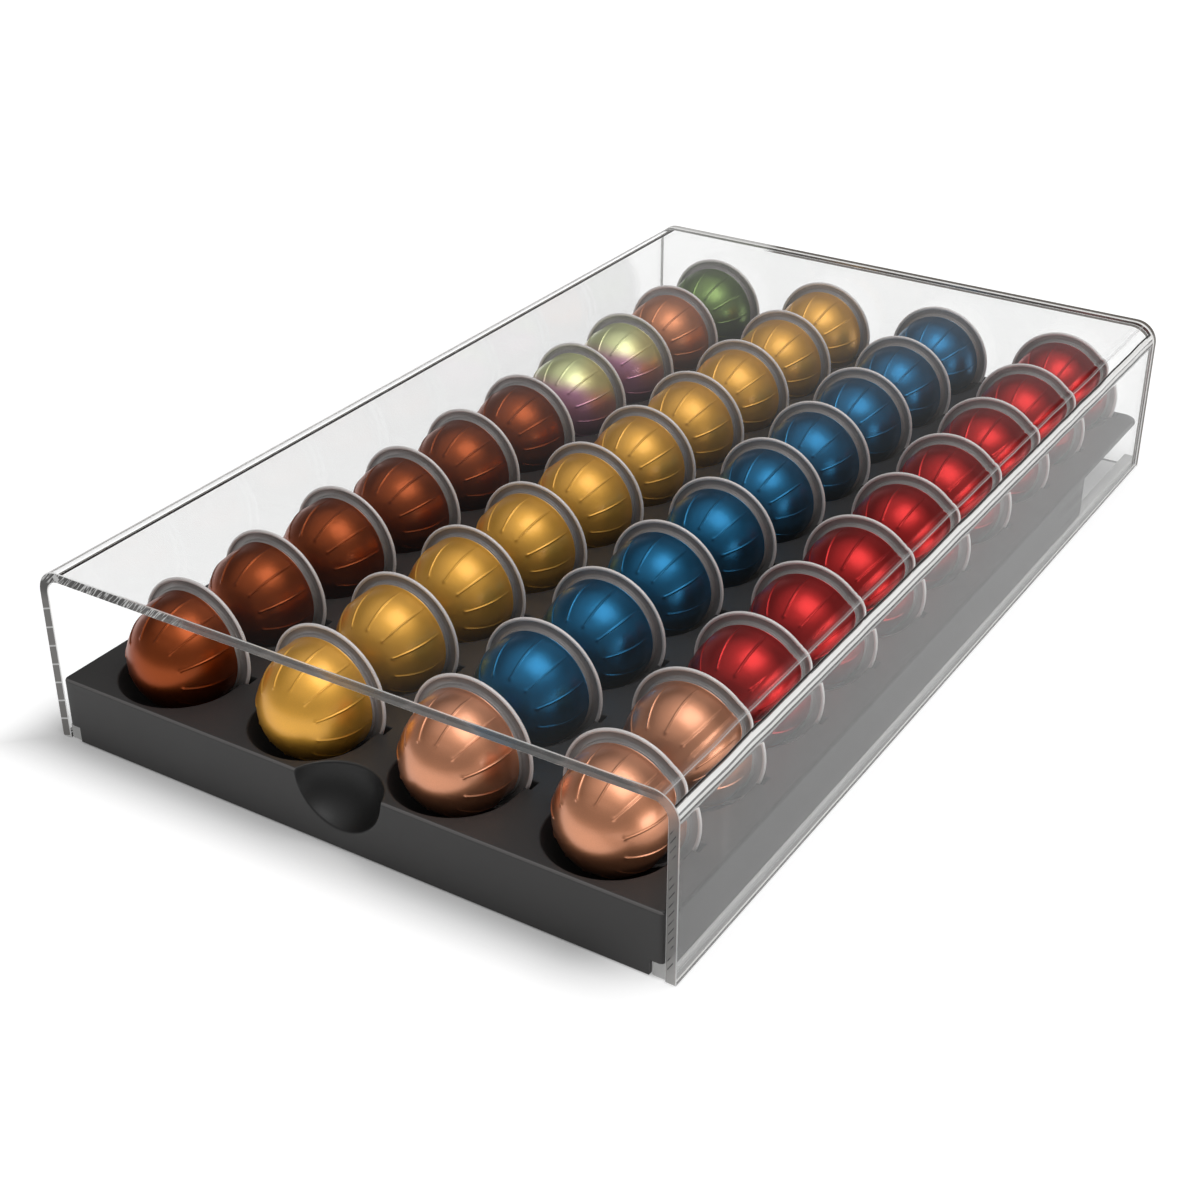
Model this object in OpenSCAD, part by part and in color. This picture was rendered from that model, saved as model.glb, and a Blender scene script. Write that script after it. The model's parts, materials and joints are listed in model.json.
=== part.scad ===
// Coffee pod drawer: a clear bent-acrylic cover with two glued runners, and a moulded tray
// that slides out of it with domed coffee pods standing on edge in its pockets.
// Millimetres. The origin is the middle of the footprint, on the counter.
// +X is right, +Y is to the rear (the drawer pulls out along -Y), +Z is up.

/* [Pocket layout] */
// Columns of pods across the tray
columns = 4; // [2:1:5]
// Rows of pods from front to rear
rows = 10; // [4:1:12]
// Distance between the middles of two columns
col_pitch = 74.8; // [72:0.1:90]
// Distance between two rows
row_pitch = 52.8; // [48:0.1:65]
// From the middle of an outer column to the side of the tray
side_margin = 42.2; // [41:0.1:60]
// From the front of the tray to the first row of pockets
front_wall = 1.7; // [1.2:0.1:30]
// From the rim slot of the last row to the rear edge of the tray
rear_margin = 6.4; // [6:0.1:40]

/* [Pods] */
// Diameter over the rolled rim
rim_d = 60.4; // [54:0.1:64]
// Diameter of the rolled bead's wire-like section
bead_d = 2; // [1.4:0.1:2.6]
// Diameter of the dome
dome_d = 49.8; // [44:0.1:53]
// Length of the dome, from the flange to its tip: a straight foot and a half ball
dome_len = 34; // [29:0.5:37]
// Thickness of the shell and the flange
pod_wall = 0.6; // [0.4:0.1:1]
// Thickness of the foil lid
lid_t = 0.4; // [0.2:0.1:0.6]
// Gap between the edge of a lid and the inside of the rolled bead
lid_gap = 0.1; // [0.05:0.05:0.5]
// Width of the step round the foot of the dome
foot_step = 0.8; // [0.4:0.1:1.2]
// Height of the step round the foot of the dome
foot_h = 1.8; // [1:0.1:3]
// Embossed flutes round the dome
flutes = 12; // [6:1:16]
// How far a flute stands out of the dome
flute_h = 0.45; // [0.2:0.05:0.8]
// Width of a flute, as an angle round the dome
flute_angle = 2.6; // [1.5:0.1:5]
// Where the flutes start, from the flange
flute_start = 4.5; // [3:0.5:8]
// Where the flutes end, from the flange
flute_end = 27.5; // [16:0.5:28]

/* [Tray] */
// Height of the tray's top face above the counter
tray_h = 32.2; // [30:0.1:45]
// Thickness of the moulded plate, front and skirts
tray_t = 2.2; // [1.6:0.1:3]
// Thickness of the pocket walls
pocket_t = 1.5; // [1:0.1:2]
// Height of a pod's middle above the tray's top face
pod_rise = 8.9; // [7:0.1:14]
// Free gap round a pod's foot in its pocket
pocket_gap = 3.5; // [1:0.1:4]
// Free gap in front of a dome's tip
tip_gap = 6.9; // [1:0.1:8]
// Width of a rim slot
slot_w = 5.6; // [4:0.1:8]
// How much larger the radius of a slot's curved floor is than the rim's
slot_gap = 2.6; // [2:0.1:3.5]
// Width of the eased edges round the pockets and the scoop
lip = 0.7; // [0.5:0.1:0.9]
// Width of the eased long edges of the rim slots; their ends are eased half as much
slot_lip = 0.4; // [0.2:0.1:0.4]
// Radius of the finger scoop in the front
scoop_r = 23.2; // [18:0.1:28]
// How far the middle of the scoop's ball lies in front of the tray
scoop_out = 6.8; // [4:0.1:12]
// Length at the rear where the tray has no side skirts
skirt_cut = 88; // [40:1:160]
// Radius of the tray's top edges
tray_edge_r = 1.4; // [0.6:0.1:2]
// Radius of the tray's rear corners
tray_corner_r = 8; // [3:0.5:14]
// Gap between the tray's front and the counter
floor_gap = 0.6; // [0.3:0.1:2]

/* [Cover] */
// Thickness of the acrylic sheet
sheet_t = 5; // [3:0.1:7]
// Outer radius of the two bends
bend_r = 12; // [8:0.5:20]
// Free height between the pods and the underside of the cover
headroom = 10.7; // [4:0.1:30]
// Thickness of the back panel
back_t = 5; // [3:0.1:7]
// Gap between the tray and each side wall
side_gap = 0.6; // [0.3:0.1:1.5]
// Gap between the tray's rear edge and the back panel
rear_gap = 0.5; // [0.3:0.1:3]

/* [Runners] */
// Width of a runner
runner_w = 6; // [4:0.1:8]
// Height of a runner
runner_h = 7.6; // [5:0.1:9]
// Distance of a runner's front end behind the cover's front edge
runner_setback = 1; // [0.3:0.1:20]
// Running gap between the tray and the runners
run_gap = 0.3; // [0.2:0.05:0.8]
// Side gap between a runner and the notch in the tray's front
notch_gap = 0.8; // [0.4:0.1:2]

/* [Hidden] */
$fn = 64;
eps = 0.01;
// gap left under a rim that sits in its slot
seat = 0.2;
rim_r = rim_d / 2;
bead_r = bead_d / 2;
dome_r = dome_d / 2;
dome_straight = dome_len - dome_r;
pocket_r = dome_r + foot_step + pocket_gap;
pocket_len = pod_wall / 2 + dome_len + tip_gap;
slot_r = rim_r + slot_gap;
front_margin = front_wall + pocket_len;
front_y = -(front_margin + (rows - 1) * row_pitch + rear_margin + rear_gap + back_t) / 2;
tray_w = (columns - 1) * col_pitch + 2 * side_margin;
tray_len = front_margin + (rows - 1) * row_pitch + rear_margin;
rear_y = -front_y;
cover_in_w = tray_w + 2 * side_gap;
cover_w = cover_in_w + 2 * sheet_t;
axis_z = tray_h + pod_rise;
cover_h = axis_z + rim_r + headroom + sheet_t;
slot_z = axis_z - rim_r - seat + slot_r;
skirt_z = runner_h + run_gap;
// with an odd number of columns the scoop stands beside the middle one
scoop_x = columns % 2 == 0 ? 0 : col_pitch / 2;

column_names = ["a", "b", "c", "d", "e"];
// rows of the four colour runs, front to rear: one colour name for each row of a column
pod_colours = [
    ["sienna", "sienna", "sienna", "sienna", "sienna", "sienna", "orchid", "orchid", "peru", "darkgreen"],
    ["goldenrod"],
    ["chocolate", "steelblue", "steelblue"],
    ["chocolate", "chocolate", "firebrick"],
];
function pod_name(c, r) = str("pod_", column_names[c], r + 1);
function pod_colour(c, r) = let (list = pod_colours[c % len(pod_colours)]) list[min(r, len(list) - 1)];
function pod_x(c) = (c - (columns - 1) / 2) * col_pitch;
function slot_y(r) = front_y + front_margin + r * row_pitch;

// A rectangle from x = 0 and y = 0 whose two upper corners are round
module arched(w, h, r) {
    square([w, h - r]);
    translate([r, 0]) square([w - 2 * r, h]);
    for (x = [r, w - r]) translate([x, h - r]) circle(r);
}

// The bent outline of the cover, cut out of the sheet along its length
module cover_outline(inset) {
    translate([-cover_w / 2 + inset, 0])
        arched(cover_w - 2 * inset, cover_h - inset, bend_r - inset);
}

// Runs a profile that is drawn in X and Z along Y, from the given place
module along_y(from, length) {
    translate([0, from + length, 0]) rotate([90, 0, 0]) linear_extrude(length) children();
}

// Puts a shape made round the Z axis on a pod's axis, pointing to the front
module on_axis(c, r) {
    translate([pod_x(c), slot_y(r), axis_z]) rotate([90, 0, 0]) children();
}

module cover() {
    color("lightcyan", 0.35)
        along_y(front_y, rear_y - back_t - front_y)
            difference() {
                cover_outline(0);
                translate([0, -eps]) cover_outline(sheet_t);
            }
}

module back_panel() {
    color("lightcyan", 0.35)
        along_y(rear_y - back_t, back_t) cover_outline(0);
}

// A square bar with its upper inner edge eased, glued to a side wall
module runner(side) {
    ease = 0.8;
    inner = cover_in_w / 2 - runner_w;
    color("azure", 0.5)
        mirror([side < 0 ? 1 : 0, 0, 0])
            along_y(front_y + runner_setback, rear_y - back_t - front_y - runner_setback)
                translate([inner, 0]) {
                    square([runner_w, runner_h - ease]);
                    translate([ease, 0]) square([runner_w - ease, runner_h]);
                    translate([ease, runner_h - ease]) circle(ease);
                }
}

module runner_left() { runner(-1); }
module runner_right() { runner(1); }

// Half outline of the dome, from its foot at y = 0, grown by the given amount
module dome_profile(grow) {
    square([dome_r + grow, dome_straight]);
    translate([0, dome_straight])
        intersection() {
            circle(dome_r + grow);
            square(dome_r + grow);
        }
}

module flange_profile() {
    translate([0, lid_t]) square([rim_r - bead_r, pod_wall]);
    translate([rim_r - bead_r, lid_t + pod_wall / 2]) circle(bead_r);
}

module pod_profile() {
    base = lid_t + pod_wall;
    difference() {
        union() {
            flange_profile();
            translate([0, base]) dome_profile(0);
            square([dome_r + foot_step, base + foot_h]);
        }
        translate([-eps, -eps]) square([dome_r - pod_wall + eps, base + 2 * eps]);
        translate([0, base]) dome_profile(-pod_wall);
        translate([0, -eps]) square([rim_r - 2 * bead_r, lid_t + eps]);
    }
}

// One raised line that runs up the dome from its foot
module flute() {
    rotate([0, 0, -flute_angle / 2])
        rotate_extrude(angle = flute_angle) {
            translate([dome_r - pod_wall / 2, flute_start])
                square([pod_wall / 2 + flute_h, dome_straight - flute_start]);
            translate([0, dome_straight])
                intersection() {
                    difference() {
                        circle(dome_r + flute_h);
                        circle(dome_r - pod_wall / 2);
                    }
                    square([dome_r + 2 * flute_h, flute_end - dome_straight]);
                }
        }
}

module pod(c, r) {
    color(pod_colour(c, r))
        on_axis(c, r)
            translate([0, 0, -lid_t - pod_wall / 2]) {
                rotate_extrude() pod_profile();
                translate([0, 0, lid_t + pod_wall])
                    for (k = [0 : flutes - 1]) rotate([0, 0, (k + 0.5) * 360 / flutes]) flute();
            }
}

// The foil lids of one column, on the rear of the flanges
module lids(c) {
    lid_r = rim_r - 2 * bead_r - lid_gap;
    color("silver")
        for (r = [0 : rows - 1])
            on_axis(c, r)
                translate([0, 0, -lid_t - pod_wall / 2]) cylinder(h = lid_t, r = lid_r);
}

// The hollow that a pod sits in: a round-ended pocket in front of a deeper slot for the rim
module pocket(grow) {
    straight = pocket_len - pocket_r;
    on_axis(0, 0) {
        rotate_extrude()
            intersection() {
                union() {
                    square([pocket_r + grow, straight]);
                    translate([0, straight]) circle(pocket_r + grow);
                }
                square([pocket_r + grow, pocket_len + grow]);
            }
    }
    translate([pod_x(0), slot_y(0), slot_z]) rotate([90, 0, 0])
        cylinder(h = slot_w + 2 * grow, r = slot_r + grow, center = true);
}

module all_pockets(grow) {
    for (c = [0 : columns - 1], r = [0 : rows - 1])
        translate([pod_x(c) - pod_x(0), slot_y(r) - slot_y(0), 0]) pocket(grow);
}

module scoop_ball(grow) {
    translate([scoop_x, front_y - scoop_out, tray_h]) sphere(scoop_r + grow);
}

// Half the width, at a depth below the tray's top face, of a round hollow of the given radius
// whose axis lies at the given height above that face
function hollow_w(radius, rise, depth) = sqrt(pow(radius, 2) - pow(rise + depth, 2));

// Eases both long edges of a straight hollow: half its width at the ease's depth and at the top
// face. The slanted sides run on into the hollow and above the face.
module eased_sides(below, above, depth) {
    slope = (above - below) / depth;
    low = below - slope * depth;
    high = above + slope * eps;
    polygon([[-low, -2 * depth], [low, -2 * depth], [high, eps], [-high, eps]]);
}

// The same for a round hollow that opens upwards
module eased_round(below, above) {
    rotate_extrude()
        intersection() {
            eased_sides(below, above, lip);
            translate([0, -2 * lip]) square([2 * above, 2 * lip + eps]);
        }
}

// Eases the edges of the pocket and the slot of one pod
module pocket_lip() {
    straight = pocket_len - pocket_r;
    cup_above = hollow_w(pocket_r, pod_rise, 0) + lip;
    cup_below = hollow_w(pocket_r, pod_rise, lip);
    slot_rise = slot_z - tray_h;
    end_lip = slot_lip / 2;
    slot_above = hollow_w(slot_r, slot_rise, 0) + end_lip;
    slot_below = hollow_w(slot_r, slot_rise, end_lip);
    translate([0, -straight, 0]) eased_round(cup_below, cup_above);
    along_y(-straight, straight) eased_sides(cup_below, cup_above, lip);
    intersection() {
        along_y(-slot_w, 2 * slot_w) eased_sides(slot_below, slot_above, end_lip);
        rotate([90, 0, 90])
            translate([0, 0, -slot_r]) linear_extrude(2 * slot_r)
                eased_sides(slot_w / 2, slot_w / 2 + slot_lip, slot_lip);
    }
}

module all_lips() {
    for (c = [0 : columns - 1], r = [0 : rows - 1])
        translate([pod_x(c), slot_y(r), tray_h]) pocket_lip();
}

// Eases the scoop's edge on the top face and on the front
module scoop_lip() {
    top_below = hollow_w(scoop_r, 0, lip);
    front_above = hollow_w(scoop_r, scoop_out, 0) + lip;
    front_below = hollow_w(scoop_r, scoop_out, lip);
    translate([scoop_x, front_y, tray_h]) {
        translate([0, -scoop_out, 0]) eased_round(top_below, scoop_r + lip);
        rotate([90, 0, 0]) eased_round(front_below, front_above);
    }
}

// The outer form of the moulding: round along its top edges and at its rear corners
module tray_block() {
    intersection() {
        along_y(front_y, tray_len)
            translate([-tray_w / 2, 0]) arched(tray_w, tray_h, tray_edge_r);
        rotate([90, 0, 90])
            translate([front_y, 0, -tray_w / 2]) linear_extrude(tray_w) {
                square([tray_len, tray_h - tray_edge_r]);
                translate([tray_edge_r, 0]) square([tray_len - tray_edge_r, tray_h]);
                translate([tray_edge_r, tray_h - tray_edge_r]) circle(tray_edge_r);
            }
        linear_extrude(tray_h)
            translate([-tray_w / 2, front_y]) arched(tray_w, tray_len, tray_corner_r);
    }
}

// A box below the tray's top face, given by how far it lies inside the sides and front
module under_tray(side, front, length, top) {
    translate([-tray_w / 2 + side, front_y + front, -eps])
        cube([tray_w - 2 * side, length, top + eps]);
}

// Plate, front and side skirts, before the pockets are let in
module tray_shell() {
    difference() {
        tray_block();
        under_tray(tray_t, tray_t, tray_len, tray_h - tray_t);
        under_tray(-eps, tray_len - skirt_cut, skirt_cut + eps, tray_h - tray_t);
        under_tray(-eps, tray_t, tray_len, skirt_z);
        under_tray(-eps, -eps, tray_t + 2 * eps, floor_gap);
    }
}

// The corners of the front are cut away round the ends of the runners
module notches() {
    notch_w = runner_w - side_gap + notch_gap;
    for (side = [0, 1]) mirror([side, 0, 0])
        translate([tray_w / 2 - notch_w, front_y - eps, -eps])
            cube([notch_w + eps, tray_t + 2 * eps, skirt_z + eps]);
}

module tray() {
    color("dimgray")
        difference() {
            union() {
                tray_shell();
                intersection() {
                    union() {
                        all_pockets(pocket_t);
                        scoop_ball(tray_t);
                    }
                    under_tray(tray_t, tray_t / 2, tray_len - tray_t / 2, tray_h - tray_t / 2);
                }
            }
            all_pockets(0);
            all_lips();
            scoop_ball(0);
            scoop_lip();
            notches();
        }
}

cover();
back_panel();
runner_left();
runner_right();
tray();
for (c = [0 : columns - 1])
    lids(c);
for (c = [0 : columns - 1], r = [0 : rows - 1])
    pod(c, r);
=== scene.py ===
"""Looks of the coffee pod drawer: clear bent cover, moulded tray, forty fluted metal pods.

Everything is in metres in the part's own frame: +X right, +Y to the rear, +Z up, and the
origin in the middle of the footprint.
"""

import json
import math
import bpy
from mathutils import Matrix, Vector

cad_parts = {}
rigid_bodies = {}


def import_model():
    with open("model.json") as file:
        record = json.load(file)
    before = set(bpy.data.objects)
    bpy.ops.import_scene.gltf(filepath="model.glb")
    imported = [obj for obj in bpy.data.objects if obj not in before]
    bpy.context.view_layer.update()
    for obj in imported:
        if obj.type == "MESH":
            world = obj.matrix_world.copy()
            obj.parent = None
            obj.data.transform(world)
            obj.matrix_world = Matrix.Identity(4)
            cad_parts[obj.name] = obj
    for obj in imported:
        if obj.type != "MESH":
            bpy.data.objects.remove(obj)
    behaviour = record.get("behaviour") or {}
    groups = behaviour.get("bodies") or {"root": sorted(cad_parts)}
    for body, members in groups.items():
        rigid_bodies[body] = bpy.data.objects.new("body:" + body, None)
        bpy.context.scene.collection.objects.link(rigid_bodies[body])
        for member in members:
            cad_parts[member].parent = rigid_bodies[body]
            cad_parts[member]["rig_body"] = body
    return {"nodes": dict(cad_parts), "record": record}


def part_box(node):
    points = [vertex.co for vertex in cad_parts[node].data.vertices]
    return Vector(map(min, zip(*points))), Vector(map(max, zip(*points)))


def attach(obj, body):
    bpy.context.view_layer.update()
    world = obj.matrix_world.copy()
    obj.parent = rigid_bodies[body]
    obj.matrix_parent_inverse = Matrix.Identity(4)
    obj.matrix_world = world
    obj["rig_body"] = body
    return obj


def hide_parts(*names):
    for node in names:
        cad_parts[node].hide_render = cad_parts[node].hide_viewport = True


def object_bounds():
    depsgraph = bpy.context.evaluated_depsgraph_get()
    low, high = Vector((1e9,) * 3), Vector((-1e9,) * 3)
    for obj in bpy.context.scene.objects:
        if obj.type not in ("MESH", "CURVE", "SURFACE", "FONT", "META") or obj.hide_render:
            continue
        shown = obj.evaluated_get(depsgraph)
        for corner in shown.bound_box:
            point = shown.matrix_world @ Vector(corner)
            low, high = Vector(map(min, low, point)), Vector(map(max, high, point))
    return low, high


bl_info = {
    "name": "Coffee Pod Drawer",
    "version": (1, 0, 0),
    "blender": (4, 5, 0),
    "location": "View3D > Sidebar > Pod Drawer",
    "description": "Builds the visible pieces and finishes of a drawer for coffee pods",
    "category": "Add Mesh",
}

import bmesh
import bpy
from bpy.props import FloatProperty, FloatVectorProperty, IntProperty, PointerProperty
from mathutils import Vector

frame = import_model()
CAD_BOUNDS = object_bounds()
SLOTS = {part["node"]: part["material_slot"] for part in frame["record"]["subparts"]}

MM = 0.001
POD_NODES = sorted(name for name in frame["nodes"] if name.startswith("pod_"))
LID_NODES = sorted(name for name in frame["nodes"] if name.startswith("lids_"))
RUST_POD = "pod_a9"
COVER_LOW, COVER_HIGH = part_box("cover")
BACK_LOW, BACK_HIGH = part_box("back_panel")
TRAY_LOW, TRAY_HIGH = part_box("tray")
RUNNER_LOW, RUNNER_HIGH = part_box("runner_right")


# ---------------------------------------------------------------- properties

def length(name, text, millimetres):
    """A length property whose default is given in millimetres."""
    return FloatProperty(name=name, description=text, default=millimetres * MM, min=0.0,
                         precision=5, subtype="DISTANCE", unit="LENGTH")


def colour(name, text, red, green, blue):
    """A colour property in linear light."""
    return FloatVectorProperty(name=name, description=text, default=(red, green, blue),
                               min=0.0, max=1.0, size=3, subtype="COLOR")


def number(name, text, default, low=0.0):
    """A plain number property."""
    return FloatProperty(name=name, description=text, default=default, min=low)


class PodSizes(bpy.types.PropertyGroup):
    dome_radius: length("Dome radius", "Radius of the half ball", 24.9)
    dome_foot: length("Dome foot", "Height of the ball's middle above the flange's middle", 9.4)
    step_radius: length("Step radius", "Radius of the step round the dome's foot", 25.7)
    step_height: length("Step height", "Height of that step above the flange's middle", 2.1)
    flange_half: length("Flange half", "Half the thickness of the flange", 0.3)
    rim_radius: length("Rim radius", "Radius over the rolled bead", 30.2)
    bead_radius: length("Bead radius", "How far the bead's rear stands behind the flange", 1.0)
    bead_tube: length("Bead tube", "Radius of the bead's section", 0.8)
    flutes: IntProperty(name="Flutes", description="Raised lines round a dome", default=12, min=4)
    flute_width: length("Flute width", "Width of one raised line at its foot", 1.10)
    flute_height: length("Flute height", "How far a line stands out", 0.42)
    flute_start: length("Flute start", "Where the lines start above the flange", 4.8)
    flute_end: length("Flute end", "Where the lines end above the flange", 27.8)
    dot_radius: length("Dot radius", "Radius of the round dot that ends a line", 1.15)
    dot_height: length("Dot height", "How far the dot stands out", 0.44)


class TraySizes(bpy.types.PropertyGroup):
    wall: length("Wall", "Thickness of the plate and the skirts", 2.2)
    edge_radius: length("Edge radius", "Rounding of the top edges and of the scoop's lip", 1.4)
    front_corner: length("Front corner", "Rounding of the two front corners", 2.4)
    rear_corner: length("Rear corner", "Rounding of the two rear corners", 8.0)
    skirt_cut: length("Skirt cut", "Length at the rear without side skirts", 88.0)
    skirt_bottom: length("Skirt bottom", "Height of the side skirts' lower edge", 7.9)
    notch: length("Notch", "Width of the notch round a runner's end", 6.2)
    cup_radius: length("Cup radius", "Radius of a pocket's round cup", 29.2)
    cup_straight: length("Cup straight", "From the slot to the middle of the cup's ball", 12.0)
    slot_radius: length("Slot radius", "Radius of a rim slot's curved floor", 32.8)
    slot_rise: length("Slot rise", "Height of the slot circle's middle over a pod's", 2.4)
    slot_half: length("Slot half", "Half the width of a rim slot", 2.8)
    pocket_wall: length("Pocket wall", "Thickness of the pocket walls", 1.5)
    lip: length("Lip", "Rounding of the pocket edges", 0.8)
    scoop_radius: length("Scoop radius", "Radius of the finger scoop's ball", 23.2)
    scoop_out: length("Scoop out", "How far the ball's middle lies in front", 6.8)


class CoverSizes(bpy.types.PropertyGroup):
    sheet: length("Sheet", "Thickness of the acrylic sheet", 5.0)
    bend: length("Bend", "Outer radius of the two bends", 12.0)
    ease: length("Ease", "Width of the polished edge breaks", 0.35)
    joint: length("Joint", "Thickness of the glue line at the back panel", 0.3)
    runner_ease: length("Runner ease", "Rounding of a runner's upper inner edge", 0.8)
    runner_haze: number("Runner haze", "Share of haze in the sawn and glued runners", 0.45)


class FinishColours(bpy.types.PropertyGroup):
    brown: colour("Brown", "Lacquer of the brown pods", 0.295, 0.059, 0.0125)
    copper: colour("Copper", "Lacquer of the copper pods", 0.70, 0.285, 0.142)
    gold: colour("Gold", "Lacquer of the gold pods", 0.90, 0.46, 0.060)
    blue: colour("Blue", "Lacquer of the blue pods", 0.012, 0.142, 0.295)
    red: colour("Red", "Lacquer of the red pods", 0.50, 0.020, 0.020)
    green: colour("Green", "Lacquer of the green pod", 0.18, 0.27, 0.08)
    rust: colour("Rust", "Lacquer of the rust pod", 0.68, 0.25, 0.11)
    lime: colour("Lime", "Upper colour of the two-tone pods", 0.85, 0.89, 0.43)
    plum: colour("Plum", "Lower colour of the two-tone pods", 0.58, 0.24, 0.38)
    bare: colour("Bare metal", "Flanges and rolled rims", 0.84, 0.79, 0.775)
    foil: colour("Foil", "Lids on the rear of the pods", 0.80, 0.79, 0.78)
    charcoal: colour("Charcoal", "Plastic of the tray", 0.0262, 0.0250, 0.0245)
    glue: colour("Glue", "Milky glue line", 0.86, 0.86, 0.84)


class StageSizes(bpy.types.PropertyGroup):
    eye: FloatVectorProperty(name="Eye", description="Place of the camera", size=3,
                             default=(0.4335, -0.7551, 0.4900), subtype="TRANSLATION", unit="LENGTH")
    aim: FloatVectorProperty(name="Aim", description="Point that the camera looks at", size=3,
                             default=(0.0175, -0.0914, 0.0400), subtype="TRANSLATION", unit="LENGTH")
    lens: number("Lens", "Focal length in millimetres on a 36 mm sensor", 58.215)
    floor_size: number("Floor size", "Side of the square floor in metres", 12.0)
    floor_drop: length("Floor drop", "Gap between the floor and the feet", 0.15)
    floor_white: number("Floor white", "Reflectance of the floor", 0.66)
    floor_glow: number("Floor glow", "Share of white that the floor shows by itself", 0.56)
    glow_far: number("Far glow", "The same share away from the object", 0.92)
    # glow_through is painted light on the floor; glow_under, shade and glow_aside are painted shadow
    # and shade on it
    glow_through: number("Glow through", "What is added to it behind clear pieces", 0.12)
    glow_under: number("Glow under", "The same share under the object", 0.22)
    shade: number("Shade", "How much darker the floor gets towards the object's foot", 0.46)
    glow_aside: number("Glow aside", "The same share beside the right wall, in reflections", 0.12)
    sky_low: number("Low sky", "Brightness of the surroundings behind the object", 0.010)
    sky_rear: number("Rear sky", "What is added there nearer the floor", 0.28)
    sky_side: number("Side sky", "The same on the right and in front", 0.30)
    sky_high: number("High sky", "Brightness of the surroundings overhead", 0.85)


# ---------------------------------------------------------------- node helpers

class Graph:
    """Adds nodes to a tree and joins them. A socket or a plain value can feed any input."""

    def __init__(self, tree):
        self.tree = tree

    def feed(self, socket, value):
        if isinstance(value, bpy.types.NodeSocket):
            self.tree.links.new(value, socket)
        else:
            socket.default_value = value

    def add(self, kind, feeds=None, **settings):
        node = self.tree.nodes.new(kind)
        for key, value in settings.items():
            setattr(node, key, value)
        for key, value in (feeds or {}).items():
            self.feed(node.inputs[key], value)
        return node

    def math(self, operation, *values):
        node = self.add("ShaderNodeMath", operation=operation)
        for socket, value in zip(node.inputs, values):
            self.feed(socket, value)
        return node.outputs[0]

    def plus(self, first, second):
        return self.math("ADD", first, second)

    def minus(self, first, second):
        return self.math("SUBTRACT", first, second)

    def times(self, first, *others):
        """The product of all values."""
        for other in others:
            first = self.math("MULTIPLY", first, other)
        return first

    def most(self, first, *others):
        """The largest of all values."""
        for other in others:
            first = self.math("MAXIMUM", first, other)
        return first

    def scaled(self, value, factor, added):
        """value x factor + added."""
        return self.math("MULTIPLY_ADD", value, factor, added)

    def absolute(self, value):
        return self.math("ABSOLUTE", value)

    def hypot(self, first, second):
        """The long side of a right angle with these two sides."""
        return self.math("SQRT", self.plus(self.times(first, first), self.times(second, second)))

    def smooth_step(self, value, start, end):
        """0 at start, 1 at end, with round shoulders."""
        node = self.add("ShaderNodeMapRange", {"Value": value, "From Min": start, "From Max": end},
                        interpolation_type="SMOOTHSTEP")
        return node.outputs[0]

    def band(self, value, start, end, soft):
        """1 where a value lies between start and end, with soft borders."""
        return self.times(self.smooth_step(value, start - soft, start + soft),
                          self.smooth_step(value, end + soft, end - soft))

    def split(self, vector):
        return self.add("ShaderNodeSeparateXYZ", {0: vector}).outputs

    def join(self, **parts):
        """A vector from any of its parts X, Y and Z."""
        return self.add("ShaderNodeCombineXYZ", parts).outputs[0]

    def mix_colour(self, factor, first, second):
        node = self.add("ShaderNodeMix", data_type="RGBA")
        self.feed(node.inputs["Factor"], factor)
        self.feed(node.inputs[6], first)
        self.feed(node.inputs[7], second)
        return node.outputs[2]

    def noise(self, vector, scale, detail=2.0, roughness=0.5):
        feeds = {"Vector": vector, "Scale": scale, "Detail": detail, "Roughness": roughness}
        return self.add("ShaderNodeTexNoise", feeds).outputs["Fac"]

    def bump(self, height, strength, distance):
        feeds = {"Height": height, "Strength": strength, "Distance": distance}
        return self.add("ShaderNodeBump", feeds).outputs[0]

    def surface(self, shader):
        """Ends a material with this shader."""
        self.add("ShaderNodeOutputMaterial", {"Surface": shader.outputs[0]})

    def principled(self, **feeds):
        """A Principled shader; the names of its inputs are written with underscores."""
        named = {key.replace("_", " "): value for key, value in feeds.items()}
        return self.add("ShaderNodeBsdfPrincipled", named)


def new_material(name):
    """An empty material and the graph of its nodes."""
    made = bpy.data.materials.new(name)
    made.use_nodes = True
    made.node_tree.nodes.clear()
    return made, Graph(made.node_tree)


def rgba(values, gain=1.0):
    """A solid colour, made paler or darker by gain."""
    return (*[min(1.0, channel * gain) for channel in values], 1.0)


def grey(level):
    """A solid grey."""
    return (level, level, level, 1.0)


def object_place(graph):
    """The place on a piece, from the middle of the footprint."""
    return graph.add("ShaderNodeTexCoord").outputs["Object"]


def pod_place(graph):
    """The place on a pod, from the middle of its own flange."""
    return graph.add("ShaderNodeAttribute", attribute_name="pod_place").outputs["Vector"]


# ---------------------------------------------------------------- materials

ACRYLIC_IOR = 1.49
PEARL_SCALE = 2600.0
PEARL_SHARE = 0.16
MOTTLE_SCALE = 110.0
FINE_GRAIN = 0.06 * MM
# Between these places the rear joint and its sawn edges change from pale to a brown painted
# reflection
PALE_UNTIL_X, BROWN_FROM_X = COVER_LOW.x + 75.0 * MM, COVER_LOW.x + 85.0 * MM

# Painted reflections on the outside of the right bend, as white and black streaks: from, to and
# weight. The angle is 0 degrees on the top and 90 on the wall.
WHITE_STREAKS = ((20, 28, 0.15), (25, 26.5, 0.4), (57, 67.5, 1.0), (72.5, 79, 0.95), (84, 88.5, 0.6))
BLACK_STREAKS = ((51, 55.5, 1.0), (68.6, 71.2, 0.95), (80.0, 82.6, 0.95))
# painted reflection: the brown streak outside the left bend, from and to in degrees
BROWN_STREAK = (13, 36)
STREAK_SOFT = 0.7


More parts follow.
